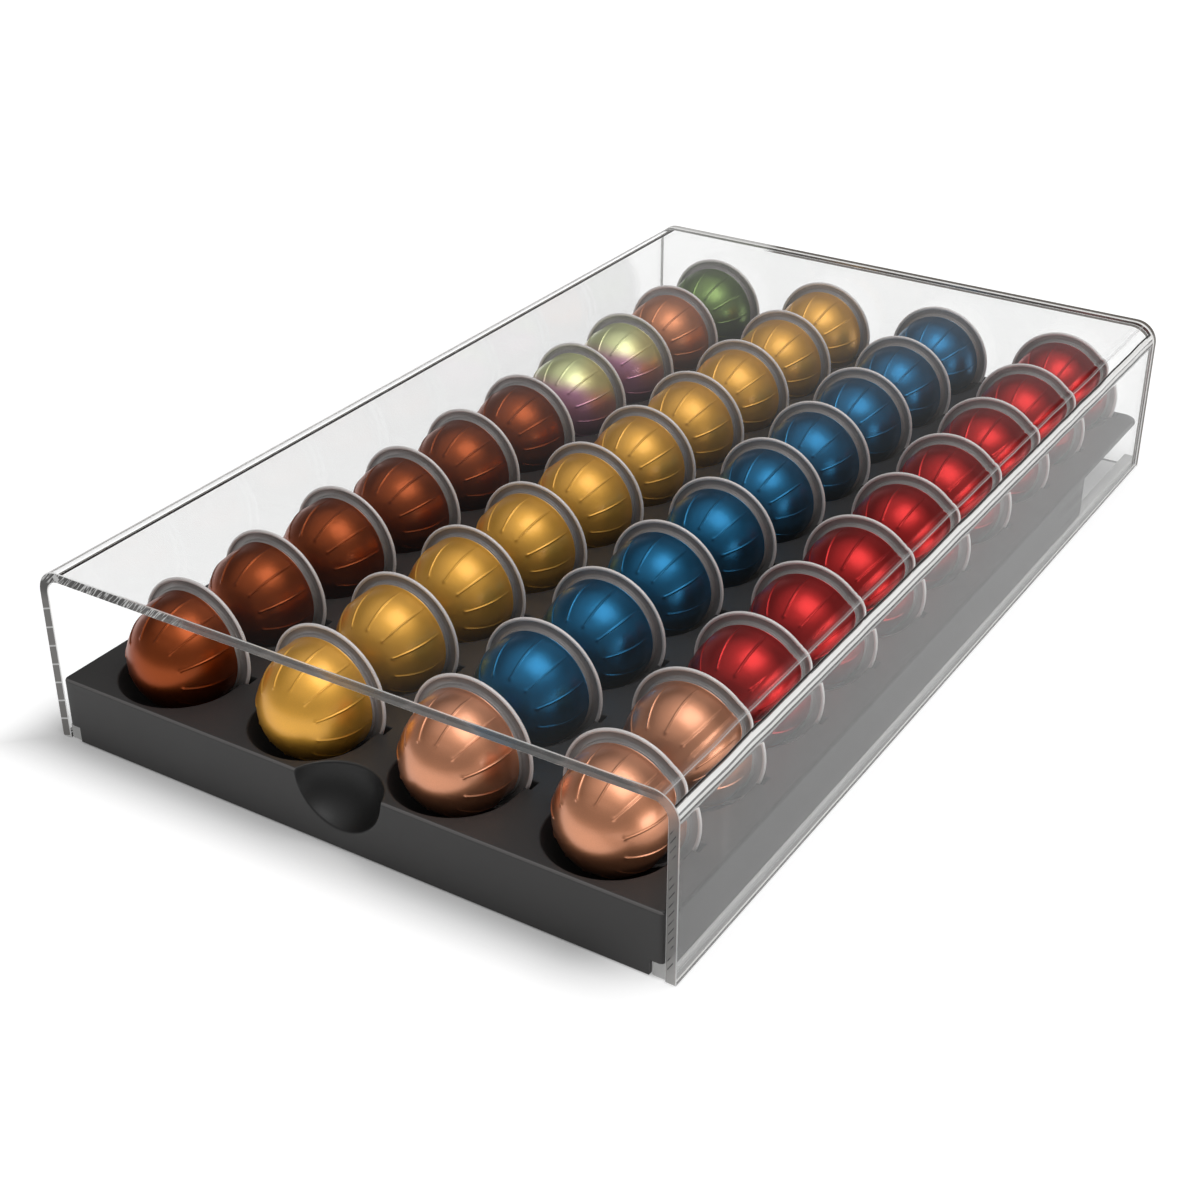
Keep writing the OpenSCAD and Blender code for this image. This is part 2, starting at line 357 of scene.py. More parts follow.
def lacquer(name, base_colour, metal=0.93, roughness=0.32, coat=0.12):
    """Lacquered metal: a fine pearl grain, a little mottling, and a soft coat."""
    made, graph = new_material(name)
    place = pod_place(graph)
    pearl = graph.noise(place, PEARL_SCALE, 1.0)
    mottle = graph.noise(place, MOTTLE_SCALE, 3.0)
    shade = graph.scaled(pearl, PEARL_SHARE, graph.scaled(mottle, 0.10, 0.87))
    shaded = graph.add("ShaderNodeHueSaturation", {"Color": rgba(base_colour), "Value": shade})
    graph.surface(graph.principled(
        Base_Color=shaded.outputs[0],
        Metallic=metal,
        Roughness=graph.scaled(mottle, 0.05, roughness),
        Coat_Weight=coat,
        Coat_Roughness=0.22,
        Normal=graph.bump(pearl, 0.10, FINE_GRAIN)))
    return made


def two_tone_lacquer(name, top, bottom, edge):
    """Lime over the top of the dome, plum below it and a golden right edge."""
    made, graph = new_material(name)
    place = pod_place(graph)
    pearl = graph.noise(place, PEARL_SCALE, 1.0)
    mottle = graph.noise(place, MOTTLE_SCALE, 3.0)
    x, y, z = graph.split(place)
    leaning = graph.scaled(y, 0.45, graph.scaled(mottle, 4.0 * MM, z))
    upper = graph.smooth_step(leaning, 1.0 * MM, 13.0 * MM)
    right = graph.smooth_step(graph.scaled(leaning, 0.5, x), 14.0 * MM, 26.0 * MM)
    body = graph.mix_colour(upper, rgba(bottom), rgba(top))
    whole = graph.mix_colour(graph.times(right, 0.35), body, rgba(edge))
    shade = graph.scaled(pearl, PEARL_SHARE, 0.92)
    shaded = graph.add("ShaderNodeHueSaturation", {"Color": whole, "Value": shade})
    graph.surface(graph.principled(
        Base_Color=shaded.outputs[0],
        Metallic=0.78,
        Roughness=graph.scaled(mottle, 0.05, 0.36),
        Coat_Weight=1.0,
        Coat_Roughness=0.25,
        Normal=graph.bump(pearl, 0.10, FINE_GRAIN)))
    return made


def bare_metal(values, bead_inside):
    """Pressed bare metal with faint turned rings: a darker copy on the flange, painted shade, and a
    brighter copy on the rolled bead outside the given radius, a painted highlight."""
    made, graph = new_material("bare_metal")
    place = pod_place(graph)
    x, _, z = graph.split(place)
    radius = graph.hypot(x, z)
    turned = graph.noise(graph.join(X=graph.times(radius, 9.0)), 900.0, 2.0)
    cloudy = graph.noise(place, 160.0, 3.0)
    bead = graph.smooth_step(radius, bead_inside - 0.2 * MM, bead_inside + 0.2 * MM)
    # painted light: the same metal as a dark copy on the flange and a bright copy on the bead
    flat = graph.mix_colour(cloudy, rgba(values, 0.36), rgba(values, 0.44))
    rolled = graph.mix_colour(cloudy, rgba(values, 1.02), rgba(values, 1.18))
    graph.surface(graph.principled(
        Base_Color=graph.mix_colour(bead, flat, rolled),
        Metallic=graph.scaled(bead, -0.20, 0.32),
        Roughness=graph.scaled(cloudy, 0.12, 0.40),
        Coat_Weight=0.5,
        Coat_Roughness=0.16,
        Normal=graph.bump(turned, 0.18, FINE_GRAIN)))
    return made


def lid_foil(values):
    """Thin foil, slightly crinkled."""
    made, graph = new_material("lid_foil_crinkled")
    crinkle = graph.noise(object_place(graph), 260.0, 4.0, 0.6)
    graph.surface(graph.principled(
        Base_Color=graph.mix_colour(crinkle, rgba(values, 0.92), rgba(values, 1.04)),
        Metallic=1.0,
        Roughness=graph.scaled(crinkle, 0.15, 0.24),
        Normal=graph.bump(crinkle, 0.35, 0.4 * MM)))
    return made


def tray_plastic(values, scoop_middle, scoop_radius):
    """Charcoal moulding with a fine spark-eroded grain, with a painted highlight along the front
    arris and painted shade along the arrises at the sides and in the finger scoop."""
    made, graph = new_material("charcoal_moulding")
    place = object_place(graph)
    grain = graph.noise(place, 2400.0, 2.0, 0.6)
    cloudy = graph.noise(place, 35.0, 3.0)
    x, y, z = graph.split(place)
    far, near = 1.1 * MM, 0.7 * MM
    high = graph.smooth_step(z, TRAY_HIGH.z - far, TRAY_HIGH.z - near)
    front = graph.smooth_step(y, TRAY_LOW.y + far, TRAY_LOW.y + near)
    side_far, side_near = 1.6 * MM, 1.2 * MM
    aside = graph.smooth_step(graph.absolute(x), TRAY_HIGH.x - side_far, TRAY_HIGH.x - side_near)
    from_ball = graph.add("ShaderNodeVectorMath", {0: place, 1: scoop_middle}, operation="DISTANCE")
    scoop_shade = graph.smooth_step(from_ball.outputs["Value"], scoop_radius + 0.5 * MM,
                                scoop_radius + 0.1 * MM)
    tone = graph.mix_colour(cloudy, rgba(values, 0.90), rgba(values, 1.10))
    # painted shade: the charcoal made darker along the top of the side arrises
    tone = graph.mix_colour(graph.times(high, aside), tone, rgba(values, 0.15))
    # painted highlight: the charcoal made 4.5 times paler along the top of the front arris
    tone = graph.mix_colour(graph.times(high, front), tone, rgba(values, 4.5))
    # painted shade: the charcoal made darker inside the finger scoop
    tone = graph.mix_colour(scoop_shade, tone, rgba(values, 0.12))
    graph.surface(graph.principled(
        Base_Color=tone,
        Roughness=graph.scaled(grain, 0.10, 0.40),
        Specular_IOR_Level=0.45,
        Normal=graph.bump(grain, 0.22, 0.1 * MM)))
    return made


def bend_streaks(graph, turn, streaks):
    """The sum of streaks that follow a bend, each with its weight."""
    whole = 0.0
    for start, end, weight in streaks:
        whole = graph.scaled(graph.band(turn, start, end, STREAK_SOFT), weight, whole)
    return whole


def sheet_streaks(graph, half, height, radius, sheet, joint_y):
    """Painted reflections and shade along the two bends of the sheet: white and black streaks on the
    right bend, a brown one outside and a black one inside the left bend; painted shade and a painted
    highlight as dark and white lines along the two feet; a painted brown reflection inside along the
    joint. Gives their colour and their share."""
    x, y, z = graph.split(object_place(graph))
    side = graph.absolute(x)
    over = graph.most(graph.minus(side, half - radius), 0.0)
    up = graph.most(graph.minus(z, height - radius), 0.0)
    reach = graph.hypot(over, up)
    ripple = graph.scaled(graph.noise(graph.join(Y=y), 32.0, 1.0), 5.0, -2.5)
    turn = graph.scaled(graph.math("ARCTAN2", over, up), 180.0 / math.pi, ripple)

    far, near = 1.0 * MM, 0.5 * MM
    outside = graph.smooth_step(reach, radius - far, radius - near)
    inside = graph.smooth_step(reach, radius - sheet + far, radius - sheet + near)
    right = graph.times(outside, graph.math("GREATER_THAN", x, 0.0))
    left = graph.math("LESS_THAN", x, 0.0)
    # painted reflections: white and black streaks on the right bend
    white = graph.times(right, bend_streaks(graph, turn, WHITE_STREAKS))
    black = graph.times(right, bend_streaks(graph, turn, BLACK_STREAKS))

    # painted shade: dark lines along the feet; painted highlight: a white line above them
    foot = graph.times(outside, graph.math("GREATER_THAN", side, half - 1.0 * MM))
    lines = graph.plus(graph.band(z, -0.5 * MM, 0.7 * MM, 0.1 * MM),
                       graph.band(z, 1.1 * MM, 1.8 * MM, 0.1 * MM))
    black = graph.most(black, graph.times(foot, lines))
    white = graph.most(white, graph.times(foot, graph.band(z, 2.0 * MM, 3.2 * MM, 0.2 * MM)))

    # painted reflection: a brown band inside the sheet along the joint
    seam = graph.times(inside, graph.smooth_step(x, PALE_UNTIL_X, BROWN_FROM_X),
                       graph.smooth_step(y, joint_y - 3.6 * MM, joint_y - 3.2 * MM))
    # painted shade: a black line inside the left bend where it starts; painted reflection: a brown
    # streak outside it
    bend_start = half - radius
    core = graph.times(left, inside, graph.band(side, bend_start - 0.6 * MM,
                                                bend_start + 0.8 * MM, 0.2 * MM))
    rim = graph.times(left, outside, graph.band(turn, *BROWN_STREAK, 3))

    dark = graph.most(black, core)
    brown = graph.most(graph.times(rim, 0.75), graph.times(seam, 0.9))
    tone = graph.mix_colour(white, (0.015, 0.012, 0.01, 1.0), (0.97, 0.96, 0.94, 1.0))
    brown_reflections = graph.mix_colour(seam, (0.34, 0.29, 0.25, 1.0), (0.12, 0.10, 0.08, 1.0))
    return graph.mix_colour(brown, tone, brown_reflections), graph.most(white, dark, brown)


def clear_acrylic(name, haze=0.0, bends=None):
    """Clear acrylic. Lamp light and blurred reflections pass straight through it, so that what
    is inside is lit; every sharp view through it refracts."""
    made, graph = new_material(name)
    clear, hazy = (0.998, 1.0, 0.998, 1.0), (0.90, 0.89, 0.87, 1.0)
    if bends:
        # with bends given, the sheet carries the painted reflections and shade of sheet_streaks
        streaks, shown = sheet_streaks(graph, *bends)
        tone, through = graph.mix_colour(shown, clear, streaks), graph.minus(1.0, shown)
    else:
        tone, through = graph.mix_colour(haze, clear, hazy), 1.0 - haze
    glass = graph.principled(Base_Color=tone, Roughness=0.0, IOR=ACRYLIC_IOR,
                             Transmission_Weight=through)
    open_way = graph.add("ShaderNodeBsdfTransparent", {"Color": grey(0.97)})
    ray = graph.add("ShaderNodeLightPath").outputs
    blurred = graph.times(ray["Is Glossy Ray"], graph.minus(1.0, ray["Is Singular Ray"]))
    passing = graph.most(ray["Is Diffuse Ray"], blurred, ray["Is Shadow Ray"])
    graph.surface(graph.add("ShaderNodeMixShader", {0: passing, 1: glass.outputs[0],
                                                    2: open_way.outputs[0]}))
    return made


def leg_marks(graph, pitch, share, slope, middle, half_width):
    """Slanted marks one above the other on the sheet's front edge: their pitch, the share of it
    that a mark fills, their slope, and the middle and half width of the row."""
    x, _, z = graph.split(object_place(graph))
    level = graph.scaled(graph.minus(x, middle), slope, z)
    beat = graph.math("FRACT", graph.math("DIVIDE", level, pitch))
    across = graph.absolute(graph.minus(x, middle))
    return graph.times(graph.smooth_step(beat, share + 0.05, share),
                       graph.smooth_step(across, half_width + 0.3 * MM, half_width))


def cut_acrylic(sheet):
    """The sawn front edge of the sheet: hazy, with painted shade round the left bend and along its
    top line, with white scratches beside it, a white drop in it, thin strokes down the left leg and
    dark ticks up the right."""
    made, graph = new_material("acrylic_cut_edge")
    place = object_place(graph)
    x, _, z = graph.split(place)
    left_x, right_x = COVER_LOW.x + sheet / 2, COVER_HIGH.x - sheet / 2
    from_left, from_right = graph.minus(x, left_x), graph.minus(right_x, x)
    below_top = graph.minus(COVER_HIGH.z - sheet / 2, z)
    slanted = graph.join(X=graph.scaled(z, -0.9, x), Y=graph.times(z, 0.12))
    worn = graph.noise(slanted, 430.0, 2.0, 0.7)

    along_top = graph.times(graph.smooth_step(below_top, 4.5 * MM, 2.5 * MM),
                            graph.smooth_step(from_left, 85.5 * MM, 69.5 * MM))
    off_line = graph.absolute(graph.minus(worn, 0.5))
    scratches = graph.times(along_top, graph.smooth_step(off_line, 0.050, 0.020))
    off_drop = graph.plus(graph.absolute(graph.minus(from_left, 9.0 * MM)),
                          graph.absolute(below_top))
    drop = graph.smooth_step(off_drop, 2.4 * MM, 1.8 * MM)
    low = graph.smooth_step(below_top, 10.5 * MM, 14.5 * MM)
    strokes = graph.times(low, leg_marks(graph, 9.5 * MM, 0.06, -0.35, left_x, 2.0 * MM))
    pale = graph.most(scratches, drop, strokes)
    uneven = graph.smooth_step(graph.noise(place, 120.0, 0.0), 0.30, 0.52)
    ticks = leg_marks(graph, 4.2 * MM, 0.16, -1.7, right_x - 0.2 * MM, 1.1 * MM)
    dark = graph.times(low, ticks, uneven)

    left = graph.smooth_step(from_left, 65.5 * MM, 45.5 * MM)
    left_leg = graph.times(left, graph.smooth_step(below_top, 6.5 * MM, 14.5 * MM))
    right_leg = graph.smooth_step(from_right, 7.5 * MM, 1.5 * MM)
    # painted shade: a darker line along the top of the edge
    outer_shade_line = graph.band(below_top, -1.55 * MM, 0.05 * MM, 0.15 * MM)
    tone = graph.mix_colour(outer_shade_line, (0.25, 0.246, 0.235, 1.0), (0.11, 0.105, 0.10, 1.0))
    tone = graph.mix_colour(right_leg, tone, (0.38, 0.37, 0.355, 1.0))
    # painted shade: a dark, less clear tone round the left bend
    tone = graph.mix_colour(left, tone, (0.045, 0.042, 0.04, 1.0))
    tone = graph.mix_colour(left_leg, tone, (0.20, 0.19, 0.18, 1.0))
    tone = graph.mix_colour(pale, tone, (0.80, 0.80, 0.79, 1.0))
    solid = graph.most(pale, dark, left)
    graph.surface(graph.principled(
        Base_Color=graph.mix_colour(dark, tone, grey(0.03)),
        Roughness=graph.scaled(worn, 0.20, 0.12),
        IOR=ACRYLIC_IOR,
        Transmission_Weight=graph.scaled(solid, -0.5, 0.52)))
    return made


def eased_acrylic():
    """The scraped arrises of the cut ends: a fine white frosting that catches the light."""
    made, graph = new_material("acrylic_eased_edge")
    worn = graph.noise(object_place(graph), 500.0, 2.0)
    graph.surface(graph.principled(
        Base_Color=(0.88, 0.88, 0.87, 1.0),
        Roughness=graph.scaled(worn, 0.25, 0.30),
        IOR=ACRYLIC_IOR,
        Transmission_Weight=0.35))
    return made


def sawn_acrylic(name, joint_y):
    """A sawn edge with a grey-brown painted reflection, paler on the left, and white along the
    joint.
    """
    made, graph = new_material(name)
    place = object_place(graph)
    x, y, _ = graph.split(place)
    reflection_mottle = graph.noise(place, 240.0, 3.0, 0.6)
    pale_left = graph.smooth_step(x, BROWN_FROM_X, PALE_UNTIL_X)
    line = graph.smooth_step(graph.absolute(graph.minus(y, joint_y)), 1.7 * MM, 1.3 * MM)
    # painted reflection: grey-brown tones on the sawn edge, made pale on the left below
    tone = graph.mix_colour(reflection_mottle, (0.050, 0.041, 0.033, 1.0), (0.115, 0.096, 0.080, 1.0))
    tone = graph.mix_colour(pale_left, tone, (0.55, 0.54, 0.52, 1.0))
    graph.surface(graph.principled(
        Base_Color=graph.mix_colour(line, tone, (0.86, 0.85, 0.83, 1.0)),
        Roughness=graph.scaled(reflection_mottle, 0.20, 0.25),
        IOR=ACRYLIC_IOR,
        Transmission_Weight=0.20))
    return made


def glue_milk(values):
    """Set solvent glue: white with tiny bubbles."""
    made, graph = new_material("glue_milk")
    bubbles = graph.noise(object_place(graph), 700.0, 3.0, 0.7)
    graph.surface(graph.principled(
        Base_Color=graph.mix_colour(bubbles, rgba(values, 0.80), rgba(values, 1.10)),
        Roughness=0.45,
        Subsurface_Weight=0.3,
        Subsurface_Radius=(2.0 * MM, 2.0 * MM, 2.0 * MM)))
    return made


# ---------------------------------------------------------------- mesh helpers

def finish_mesh(builder, name, sharp_degrees=35.0):
    """Turns a bmesh into a new object with outward faces, smooth up to the given angle."""
    bmesh.ops.remove_doubles(builder, verts=builder.verts, dist=1e-7)
    bmesh.ops.dissolve_degenerate(builder, dist=1e-8, edges=builder.edges)
    bmesh.ops.recalc_face_normals(builder, faces=builder.faces)
    mesh = bpy.data.meshes.new(name)
    builder.to_mesh(mesh)
    builder.free()
    mesh.polygons.foreach_set("use_smooth", [True] * len(mesh.polygons))
    mesh.set_sharp_from_angle(angle=math.radians(sharp_degrees))
    made = bpy.data.objects.new(name, mesh)
    bpy.context.scene.collection.objects.link(made)
    return made


def place_piece(piece, materials, node, stands_in=True):
    """Gives a finished piece its materials and the body of its node, and lets it stand
    in for that node unless it only comes beside it."""
    for material in materials:
        piece.data.materials.append(material)
    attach(piece, frame["nodes"][node]["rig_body"])
    if stands_in:
        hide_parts(node)


def bridge(builder, rings, closed=True):
    """Quads between rings of vertices that all have the same count."""
    for ring, following in zip(rings, rings[1:]):
        count = len(ring)
        for i in range(count if closed else count - 1):
            j = (i + 1) % count
            corners = (ring[i], ring[j], following[j], following[i])
            if len(set(corners)) == 4:
                builder.faces.new(corners)


def loop_edges(builder, ring):
    """The edges of a closed ring, made where they are missing."""
    edges = []
    for first, second in zip(ring, ring[1:] + ring[:1]):
        edges.append(builder.edges.get((first, second)) or builder.edges.new((first, second)))
    return edges


def arc(centre, radius, start, end, steps):
    """Points on an arc, with angles in radians."""
    return [(centre[0] + radius * math.cos(start + (end - start) * i / steps),
             centre[1] + radius * math.sin(start + (end - start) * i / steps))
            for i in range(steps + 1)]


def even_points(points, count, per_length, per_turn):
    """Spreads count points along a path, closer together where it turns."""
    weights = [0.0]
    heading = None
    for first, second in zip(points, points[1:]):
        dx, dy = second[0] - first[0], second[1] - first[1]
        step = math.hypot(dx, dy)
        turn = 0.0
        if step > 1e-9:
            new_heading = math.atan2(dy, dx)
            if heading is not None:
                turn = abs((new_heading - heading + math.pi) % (2 * math.pi) - math.pi)
            heading = new_heading
        weights.append(weights[-1] + step * per_length + turn * per_turn)
    total = weights[-1]
    if total < 1e-9:
        return [points[0]] * count
    spread = []
    at = 0
    for k in range(count):
        goal = total * k / (count - 1)
        while at < len(points) - 2 and weights[at + 1] < goal:
            at += 1
        gap = weights[at + 1] - weights[at]
        share = 0.0 if gap < 1e-12 else min(1.0, (goal - weights[at]) / gap)
        spread.append(tuple(a + (b - a) * share for a, b in zip(points[at], points[at + 1])))
    return spread


# ---------------------------------------------------------------- pods

# Meridians round one flute, in degrees where a flute's share of the round is 30
FLUTE_OFFSETS = (-11.0, -7.0, -3.6, -2.2, -1.3, -0.6, 0.0, 0.6, 1.3, 2.2, 3.6, 7.0, 11.0, 15.0)
FLUTE_SHARE = 30.0


def pod_middle(node, bead_radius):
    """The middle of a pod's flange, from the box of its node; its rear is the bead's."""
    low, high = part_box(node)
    return ((low.x + high.x) / 2, high.y - bead_radius, (low.z + high.z) / 2)


def pod_outline(size):
    """(radius, height) from the tip over the dome, the step, the flange and the bead to the
    middle of the rear. Rings lie closer together round the ends of the flutes."""
    ball, foot, half = size.dome_radius, size.dome_foot, size.flange_half
    flute_tip = math.degrees(math.acos((size.flute_end - foot) / ball))
    fine = [flute_tip + turn for turn in (-7, -4.5, -2.8, -1.4, 0, 1.4, 2.8, 4.5)]
    before = [fine[0] * k / 6 for k in range(1, 6)]
    after = [fine[-1] + (90 - fine[-1]) * k / 9 for k in range(1, 10)]
    outline = [(0.0, foot + ball)]
    for angle in map(math.radians, before + fine + after):
        outline.append((ball * math.sin(angle), foot + ball * math.cos(angle)))
    for height in (7.6, 6.2, 5.4, 4.8, 4.2, 3.4, 2.7):
        outline.append((ball, height * MM))
    step, top = size.step_radius, size.step_height
    outline += [(ball + 0.06 * MM, top + 0.25 * MM), (ball + 0.22 * MM, top + 0.06 * MM),
                (step - 0.25 * MM, top), (step - 0.06 * MM, top - 0.14 * MM),
                (step, top - 0.40 * MM), (step, half + 0.50 * MM),
                (step + 0.08 * MM, half + 0.20 * MM), (step + 0.30 * MM, half + 0.04 * MM),
                (step + 0.70 * MM, half)]
    bead = size.bead_tube
    middle = size.rim_radius - bead
    meet = math.pi - math.asin(half / bead)
    outline += arc((middle, 0.0), bead, meet, -meet, 12)
    outline += [(middle - 2.0 * MM, -half), (0.0, -0.8 * half)]
    return outline


def pod_shell(size):
    """The plain revolved shell, before its flutes are raised."""
    pitch = 360.0 / size.flutes
    angles = [math.radians(k * pitch + offset * pitch / FLUTE_SHARE)
              for k in range(size.flutes) for offset in FLUTE_OFFSETS]
    outline = pod_outline(size)
    builder = bmesh.new()
    rings = [[builder.verts.new((radius * math.sin(a), radius * math.cos(a), height))
              for a in angles] for radius, height in outline[1:-1]]
    bridge(builder, rings)
    for (_, height), ring in ((outline[0], rings[0]), (outline[-1], rings[-1])):
        pole = builder.verts.new((0.0, 0.0, height))
        for first, second in zip(ring, ring[1:] + ring[:1]):
            builder.faces.new((pole, first, second))
    return finish_mesh(builder, "pod_shell", 180.0)


def flute_tree():
    """Raises straight lines with a dot at their upper end on a revolved shell, gives the dome
    its lacquer and the rim its bare metal, and puts the pod in its place."""
    tree = bpy.data.node_groups.new("Raised Flutes", "GeometryNodeTree")
    sockets = (("Shell", "Geometry"), ("Flutes", "Int"), ("Line Height", "Float"),
               ("Line Width", "Float"), ("Start", "Float"), ("End", "Float"),
               ("Dot Height", "Float"), ("Dot Radius", "Float"), ("Bare From", "Float"),
               ("Bare Below", "Float"), ("Turn", "Float"), ("Place", "Vector"),
               ("Lacquer", "Material"), ("Bare", "Material"))
    for name, kind in sockets:
        tree.interface.new_socket(name, in_out="INPUT", socket_type="NodeSocket" + kind)
    tree.interface.new_socket("Pod", in_out="OUTPUT", socket_type="NodeSocketGeometry")
    graph = Graph(tree)
    given = graph.add("NodeGroupInput").outputs
    x, y, z = graph.split(graph.add("GeometryNodeInputPosition").outputs[0])
    radius = graph.hypot(x, y)
    around = graph.math("ARCTAN2", x, y)
    turns = graph.times(graph.math("DIVIDE", around, 2 * math.pi), given["Flutes"])
    share = graph.minus(turns, graph.math("ROUND", turns))
    step = graph.math("DIVIDE", 2 * math.pi, given["Flutes"])
    sideways = graph.times(graph.absolute(share), step, radius)
    past_end = graph.minus(z, given["End"])
    before_start = graph.minus(given["Start"], z)
    beyond = graph.most(past_end, before_start, 0.0)

    length_per_height = 1.45
    line = graph.smooth_step(graph.hypot(sideways, graph.times(beyond, length_per_height)),
                             graph.times(given["Line Width"], 0.5), 0.0)
    dot = graph.smooth_step(graph.hypot(sideways, graph.times(past_end, length_per_height)),
                            given["Dot Radius"], 0.0)
    fade = graph.smooth_step(z, given["Start"], graph.plus(given["Start"], 11.0 * MM))
    line = graph.times(line, graph.scaled(fade, 0.75, 0.25))
    rise = graph.most(graph.times(line, given["Line Height"]),
                      graph.times(dot, given["Dot Height"]))
    on_dome = graph.math("LESS_THAN", radius, given["Bare From"])
    lift = graph.add("ShaderNodeVectorMath", operation="SCALE")
    graph.feed(lift.inputs[0], graph.add("GeometryNodeInputNormal").outputs[0])
    graph.feed(lift.inputs["Scale"], graph.times(rise, on_dome))
    raised = graph.add("GeometryNodeSetPosition", {"Geometry": given["Shell"],
                                                   "Offset": lift.outputs[0]})
    lacquered = graph.add("GeometryNodeSetMaterial", {"Geometry": raised.outputs[0],
                                                      "Material": given["Lacquer"]})
    rim = graph.times(graph.math("GREATER_THAN", radius, given["Bare From"]),
                      graph.math("LESS_THAN", z, given["Bare Below"]))
    dressed = graph.add("GeometryNodeSetMaterial", {"Geometry": lacquered.outputs[0],
                                                    "Selection": rim, "Material": given["Bare"]})
    turned = graph.add("GeometryNodeTransform", {
        "Geometry": dressed.outputs[0],
        "Rotation": graph.join(Z=given["Turn"])})
    upright = graph.add("GeometryNodeTransform", {"Geometry": turned.outputs[0],
                                                  "Rotation": (math.pi / 2, 0.0, 0.0)})
    noted = graph.add("GeometryNodeStoreNamedAttribute", data_type="FLOAT_VECTOR", domain="POINT")
    graph.feed(noted.inputs["Geometry"], upright.outputs[0])
    graph.feed(noted.inputs["Name"], "pod_place")
    graph.feed(noted.inputs["Value"], graph.add("GeometryNodeInputPosition").outputs[0])
    placed = graph.add("GeometryNodeTransform", {"Geometry": noted.outputs[0],
                                                 "Translation": given["Place"]})
    real = graph.add("GeometryNodeRealizeInstances", {"Geometry": placed.outputs[0]})
    graph.add("NodeGroupOutput", {"Pod": real.outputs[0]})
    return tree


def apply_tree(piece, tree, values):
    """Runs a node tree on a piece, with its inputs given by name, and keeps the plain mesh."""
    modifier = piece.modifiers.new(tree.name, "NODES")
    modifier.node_group = tree
    for item in tree.interface.items_tree:
        if item.in_out == "INPUT" and item.name in values:
            modifier[item.identifier] = values[item.name]
    bpy.context.view_layer.update()
    dependencies = bpy.context.evaluated_depsgraph_get()
    mesh = bpy.data.meshes.new_from_object(piece.evaluated_get(dependencies))
    piece.modifiers.remove(modifier)
    piece.data = mesh
    mesh.name = piece.name


class POD_OT_pods(bpy.types.Operator):
    """Make the forty lacquered pods with their raised flutes"""
    bl_idname = "pod_drawer.pods"
    bl_label = "Pods"

    def execute(self, context):
        size = context.scene.pod_drawer_pods
        paint = context.scene.pod_drawer_colours
        finishes = {
            "pod_brown": lacquer("lacquer_brown", paint.brown),
            "pod_copper": lacquer("lacquer_copper", paint.copper, 0.86, 0.32, 1.0),
            "pod_gold": lacquer("lacquer_gold", paint.gold, 0.78, 0.42, 0.55),
            "pod_blue": lacquer("lacquer_blue", paint.blue),
            "pod_red": lacquer("lacquer_red", paint.red),
            "pod_green": lacquer("lacquer_green", paint.green),
            "pod_violet": two_tone_lacquer("lacquer_two_tone", paint.lime, paint.plum, paint.gold),
        }
        rust = lacquer("lacquer_rust", paint.rust, 0.86, 0.36)
        bare = bare_metal(paint.bare, size.rim_radius - 2 * size.bead_tube)
        shell = pod_shell(size)
        tree = flute_tree()
        for count, node in enumerate(POD_NODES):
            pod = bpy.data.objects.new("shell" + node[3:], shell.data)
            context.scene.collection.objects.link(pod)
            mixed_up = count * 7 % 5
            apply_tree(pod, tree, {
                "Flutes": size.flutes, "Line Height": size.flute_height,
                "Line Width": size.flute_width, "Start": size.flute_start,
                "End": size.flute_end, "Dot Height": size.dot_height,
                "Dot Radius": size.dot_radius, "Bare From": size.dome_radius + 0.1 * MM,
                "Bare Below": 3.0 * MM, "Turn": -math.radians(10.0 + 7.0 * mixed_up),
                "Place": pod_middle(node, size.bead_radius), "Bare": bare,
                "Lacquer": rust if node == RUST_POD else finishes[SLOTS[node]]})
            place_piece(pod, (), node)
        bpy.data.objects.remove(shell)
        return {"FINISHED"}


class POD_OT_lids(bpy.types.Operator):
    """Give the foil lids on the rear of the pods their crinkled foil"""
    bl_idname = "pod_drawer.lids"
    bl_label = "Foil lids"

    def execute(self, context):
        foil = lid_foil(context.scene.pod_drawer_colours.foil)
        for node in LID_NODES:
            slots = frame["nodes"][node].material_slots
            if not slots:
                raise RuntimeError(f"{node} has no material slot")
            for slot in slots:
                slot.material = foil
        return {"FINISHED"}


# ---------------------------------------------------------------- tray

POINTS_PER_METRE = 250.0
STEPS_PAST_SCOOP = (0.12, 0.28, 0.5, 0.8, 1.2, 1.8, 2.6, 4.0, 6.5, 10.0)


def scoop_reach(size):
    """How near the front's rounded lip lies to the axis of the scoop's ball, and half the
    scoop's width there."""
    miss = math.hypot(size.scoop_out + size.edge_radius, size.edge_radius) - size.edge_radius
    return miss, math.sqrt(size.scoop_radius ** 2 - miss ** 2)


def front_profile(size, x, top, bottom):
    """(distance behind the front, height) of the tray's front at x: from the plate over the
    rounded lip, through the ball of the scoop if it reaches here, and down the front face."""
    lip, out = size.edge_radius, size.scoop_out
    miss, edge = scoop_reach(size)
    if abs(x) < edge:
        depth = math.sqrt(size.scoop_radius ** 2 - x * x) - miss
    else:
        depth = (edge - abs(x)) * edge / miss
    softness = 0.9 * MM
    reach = miss + (depth + math.hypot(depth, softness)) / 2
    upper = -out + math.sqrt((reach + lip) ** 2 - lip ** 2)
    drop = math.sqrt((reach + lip) ** 2 - (lip + out) ** 2)
    path = [(upper + 0.05 * MM, top)]
    path += arc((upper, top - lip), lip, math.pi / 2, math.atan2(lip, -(upper + out)), 10)
    path += arc((-out, top), reach, math.atan2(-lip, upper + out), math.atan2(-drop, lip + out), 30)
    path += arc((lip, top - drop), lip, math.atan2(drop, -(out + lip)), math.pi, 10)
    path.append((0.0, bottom))
    return even_points(path, 34, POINTS_PER_METRE, 7.0)


